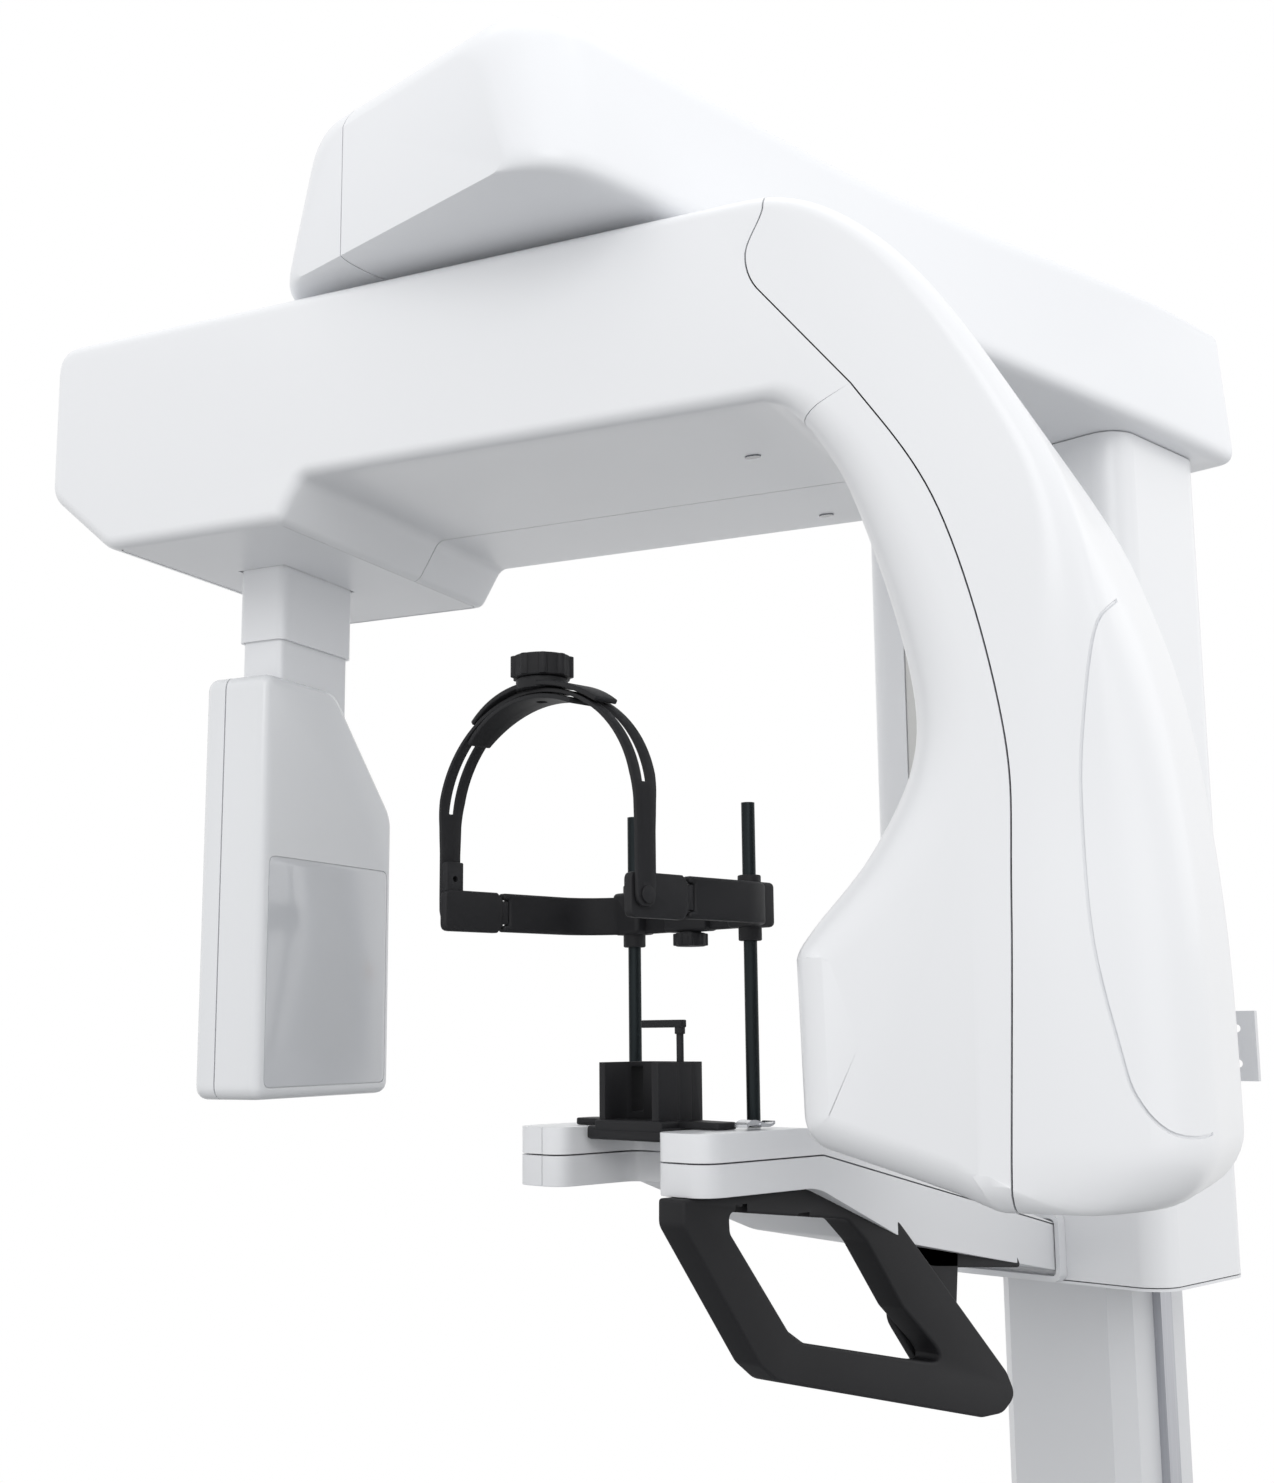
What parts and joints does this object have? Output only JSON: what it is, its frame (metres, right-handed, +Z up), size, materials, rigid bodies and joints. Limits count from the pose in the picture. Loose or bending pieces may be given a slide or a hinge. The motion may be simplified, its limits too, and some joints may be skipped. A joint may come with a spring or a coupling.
{
  "type": "panoramic dental x-ray machine",
  "caption": "Column-mounted panoramic dental x-ray machine with lifting carriage, rotating C-arm, detector, patient table, handle, head support and chin rest",
  "frame": {"origin": "centre of the column's front face, on the floor", "axes": "+Z up, +Y from the patient towards the back of the column, +X to the right seen from the front"},
  "size_m": [1.0264, 1.2241, 2.258],
  "materials": {
    "floor_plate": "satin",
    "column_shell": "satin",
    "foot_bolts": "brushed",
    "foot_skirt": "semi-gloss",
    "guide_rails": "ground",
    "lift_actuator": "satin",
    "wall_bracket": "satin",
    "power_inlet": "matte",
    "power_switch": "matte",
    "carriage_cover": "semi-gloss",
    "carriage_panel": "satin",
    "carriage_base_cover": "satin",
    "carriage_frame": "satin",
    "guide_shoes": "matte",
    "lift_piston": "polished",
    "shelf_cover": "semi-gloss",
    "shelf_end_cap": "semi-gloss",
    "shelf_tray": "satin",
    "shelf_frame": "satin",
    "slide_plate": "satin",
    "slewing_bearing": "ground",
    "rotation_motor": "satin",
    "drive_pulley": "satin",
    "drive_belt": "matte",
    "beam_front_cover": "semi-gloss",
    "beam_rear_cover": "semi-gloss",
    "head_outer_cover": "semi-gloss",
    "head_inner_cover": "semi-gloss",
    "beam_window": "semi-gloss",
    "bay_cover": "satin",
    "arm_frame": "cast",
    "xray_tube": "satin",
    "spindle": "turned",
    "indicator_lenses": "smoked",
    "neck_sleeve": "semi-gloss",
    "neck_slider": "satin",
    "detector_front": "gloss",
    "detector_rear": "gloss",
    "detector_window": "gloss",
    "sensor": "satin",
    "table_top_cover": "semi-gloss",
    "table_bottom_cover": "semi-gloss",
    "support_frame": "cast",
    "arm_collar": "satin",
    "support_rods": "blued",
    "handle": "matte",
    "handle_stay": "matte",
    "yoke": "matte",
    "rod_bushes": "matte",
    "lock_knob": "matte",
    "temple_pads": "matte",
    "pivot_pins": "satin",
    "arch_straps": "matte",
    "arch_saddle": "matte",
    "arch_knob": "matte",
    "chin_rest": "matte",
    "bite_rod": "matte",
    "height_rocker": "polished",
    "stop_housing": "matte",
    "emergency_stop": "gloss"
  },
  "bodies": {
    "base": {"floor_plate": "floor_plate", "column_shell": "column_shell", "foot_bolts": "foot_bolts", "foot_skirt": "foot_skirt", "guide_rails": "guide_rails", "lift_actuator": "lift_actuator", "wall_bracket": "wall_bracket", "power_inlet": "power_inlet"},
    "mains_rocker": {"power_switch": "power_switch"},
    "carriage": {"carriage_cover": "carriage_cover", "carriage_panel": "carriage_panel", "carriage_base_cover": "carriage_base_cover", "carriage_frame": "carriage_frame", "guide_shoes": "guide_shoes", "lift_piston": "lift_piston", "shelf_cover": "shelf_cover", "shelf_end_cap": "shelf_end_cap", "shelf_tray": "shelf_tray", "shelf_frame": "shelf_frame", "table_top_cover": "table_top_cover", "table_bottom_cover": "table_bottom_cover", "support_frame": "support_frame", "arm_collar": "arm_collar", "support_rods": "support_rods", "handle": "handle", "handle_stay": "handle_stay", "stop_housing": "stop_housing"},
    "rotation_slide": {"slide_plate": "slide_plate", "slewing_bearing": "slewing_bearing", "rotation_motor": "rotation_motor", "drive_belt": "drive_belt"},
    "motor_pulley": {"drive_pulley": "drive_pulley"},
    "rotating_arm": {"beam_front_cover": "beam_front_cover", "beam_rear_cover": "beam_rear_cover", "head_outer_cover": "head_outer_cover", "head_inner_cover": "head_inner_cover", "beam_window": "beam_window", "bay_cover": "bay_cover", "arm_frame": "arm_frame", "xray_tube": "xray_tube", "spindle": "spindle", "indicator_lenses": "indicator_lenses", "neck_sleeve": "neck_sleeve"},
    "detector": {"neck_slider": "neck_slider", "detector_front": "detector_front", "detector_rear": "detector_rear", "detector_window": "detector_window", "sensor": "sensor"},
    "head_support": {"yoke": "yoke", "rod_bushes": "rod_bushes", "temple_pads": "temple_pads", "pivot_pins": "pivot_pins"},
    "clamp_knob": {"lock_knob": "lock_knob"},
    "head_arch": {"arch_straps": "arch_straps", "arch_saddle": "arch_saddle"},
    "crown_knob": {"arch_knob": "arch_knob"},
    "chin_support": {"chin_rest": "chin_rest"},
    "bite_piece": {"bite_rod": "bite_rod"},
    "height_switch": {"height_rocker": "height_rocker"},
    "stop_button": {"emergency_stop": "emergency_stop"}
  },
  "joints": [
    {"name": "mains_switch", "type": "hinge", "parent": "base", "child": "mains_rocker", "pos_m": [0.028, 0.1545, 0.18], "axis": [1, 0, 0], "range_deg": [-6, 6]},
    {"name": "lift", "type": "slide", "parent": "base", "child": "carriage", "axis": [0, 0, 1], "range_m": [-0.54, 0.15]},
    {"name": "axis_shift", "type": "slide", "parent": "carriage", "child": "rotation_slide", "axis": [0, 1, 0], "range_m": [-0.03, 0.03]},
    {"name": "arm_rotation", "type": "hinge", "parent": "rotation_slide", "child": "rotating_arm", "pos_m": [0, -0.692, 2.1], "axis": [0, 0, 1], "range_deg": [-130, 110]},
    {"name": "motor_spin", "type": "hinge", "parent": "rotation_slide", "child": "motor_pulley", "pos_m": [0, -0.58, 2.154], "axis": [0, 0, 1], "range_deg": [-525, 445]},
    {"name": "detector_height", "type": "slide", "parent": "rotating_arm", "child": "detector", "axis": [0, 0, 1], "range_m": [-0.05, 0.02]},
    {"name": "head_support_height", "type": "slide", "parent": "carriage", "child": "head_support", "axis": [0, 0, 1], "range_m": [-0.06, 0.045]},
    {"name": "clamp_turn", "type": "hinge", "parent": "head_support", "child": "clamp_knob", "pos_m": [0, -0.584, 1.526], "axis": [0, 0, 1], "range_deg": [-180, 180]},
    {"name": "arch_tilt", "type": "hinge", "parent": "head_support", "child": "head_arch", "pos_m": [0, -0.766, 1.549], "axis": [1, 0, 0], "range_deg": [-20, 25]},
    {"name": "crown_turn", "type": "hinge", "parent": "head_arch", "child": "crown_knob", "pos_m": [0, -0.766, 1.75], "axis": [0, 0, 1], "range_deg": [-180, 180]},
    {"name": "chin_lift", "type": "slide", "parent": "carriage", "child": "chin_support", "axis": [0, 0, 1], "range_m": [0, 0.03]},
    {"name": "bite_swing", "type": "hinge", "parent": "chin_support", "child": "bite_piece", "pos_m": [0.029, -0.63, 1.43], "axis": [0, 0, 1], "range_deg": [-90, 90]},
    {"name": "height_press", "type": "hinge", "parent": "carriage", "child": "height_switch", "pos_m": [0.102, -0.616, 1.3638], "axis": [1, 0, 0], "range_deg": [-5, 5], "stiffness_Nm_per_rad": 0.3},
    {"name": "stop_press", "type": "slide", "parent": "carriage", "child": "stop_button", "axis": [1, 0, 0], "range_m": [0, 0.004], "stiffness_N_per_m": 1500}
  ],
  "couplings": [
    {"joint": "motor_spin", "follows": "arm_rotation", "ratio": 4}
  ]
}
